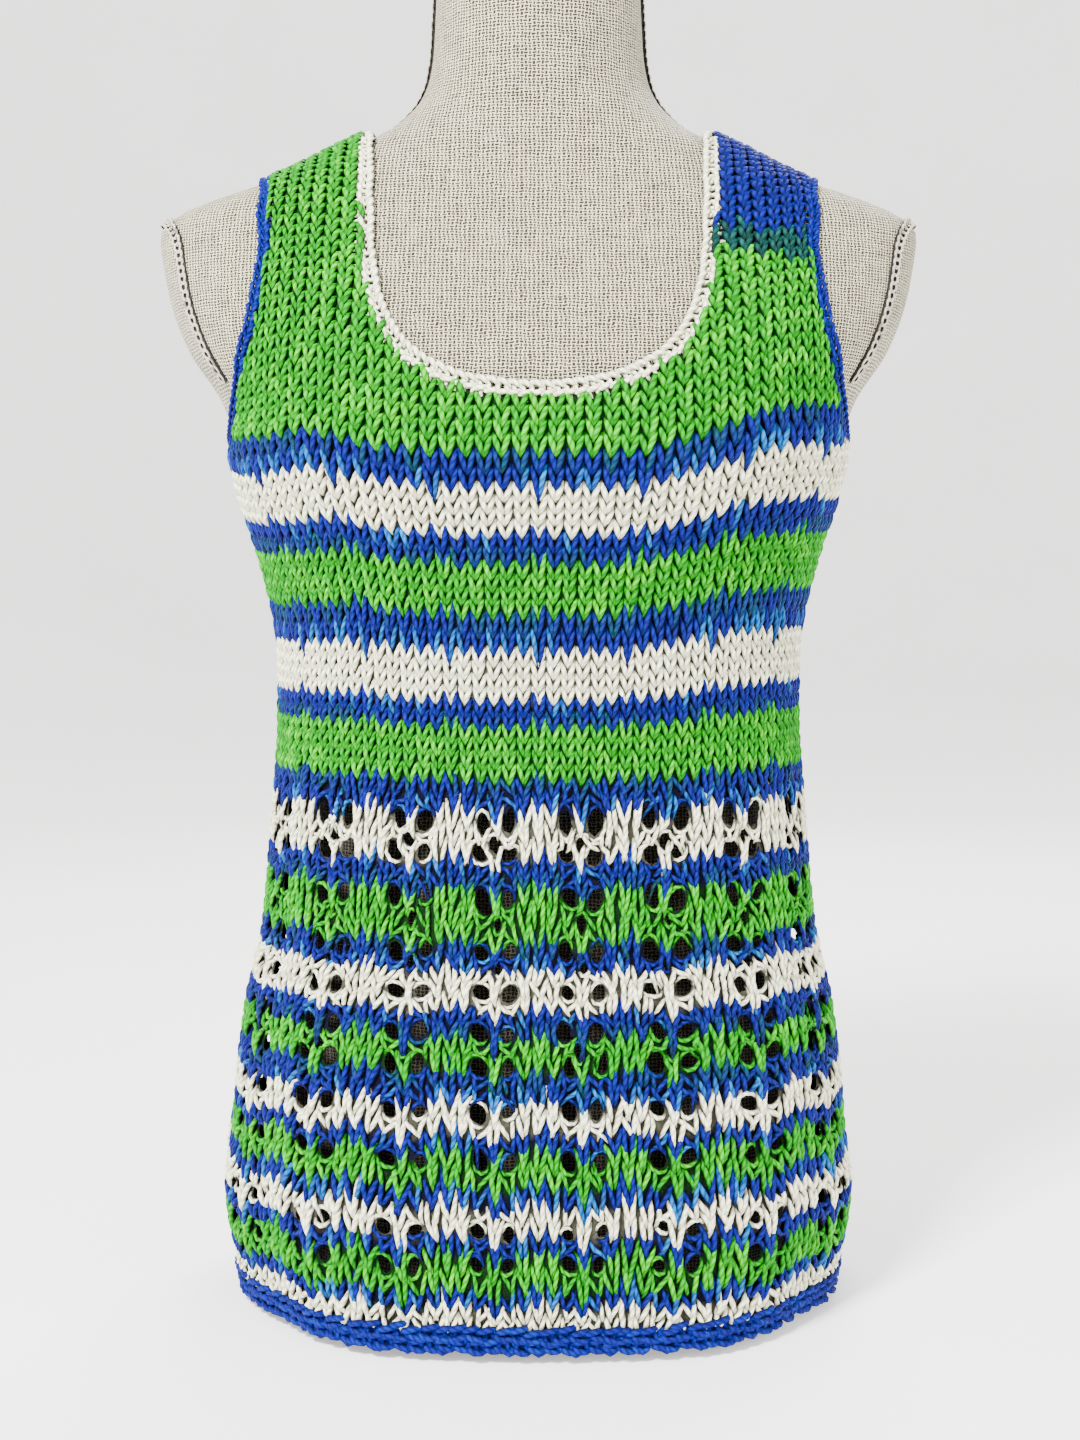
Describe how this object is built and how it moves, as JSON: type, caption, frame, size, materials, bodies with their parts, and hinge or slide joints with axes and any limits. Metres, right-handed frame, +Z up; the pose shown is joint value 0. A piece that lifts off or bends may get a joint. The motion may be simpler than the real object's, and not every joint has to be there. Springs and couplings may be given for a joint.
{
  "type": "hand-knit camisole on a limbless dress form",
  "caption": "Sleeveless striped hand-knit camisole with an openwork skirt, worn on a linen-covered limbless dress form that stands on its base.",
  "frame": {"origin": "on the floor, at the middle of the dress form's flat bottom", "axes": "+Z up; the front of the garment faces -Y; +X is to the right as seen from the front"},
  "size_m": [0.396, 0.255, 0.703],
  "materials": {
    "linen": "coarse plain-weave linen, warm grey",
    "knit": "plied cotton yarn, green, blue and ivory stripes",
    "ivory_crochet": "plied cotton yarn, ivory, crocheted",
    "blue_crochet": "plied cotton yarn, royal blue, crocheted",
    "braid": "narrow linen chain braid, grey-brown"
  },
  "bodies": {
    "root": {"form_body": "linen", "front_panel": "knit", "back_panel": "knit", "neck_edging": "ivory_crochet", "armhole_edging_left": "blue_crochet", "armhole_edging_right": "blue_crochet", "hem_edging": "blue_crochet", "neck_braid_left": "braid", "neck_braid_right": "braid", "shoulder_braid_left": "braid", "shoulder_braid_right": "braid", "arm_braid_left": "braid", "arm_braid_right": "braid"}
  },
  "joints": []
}
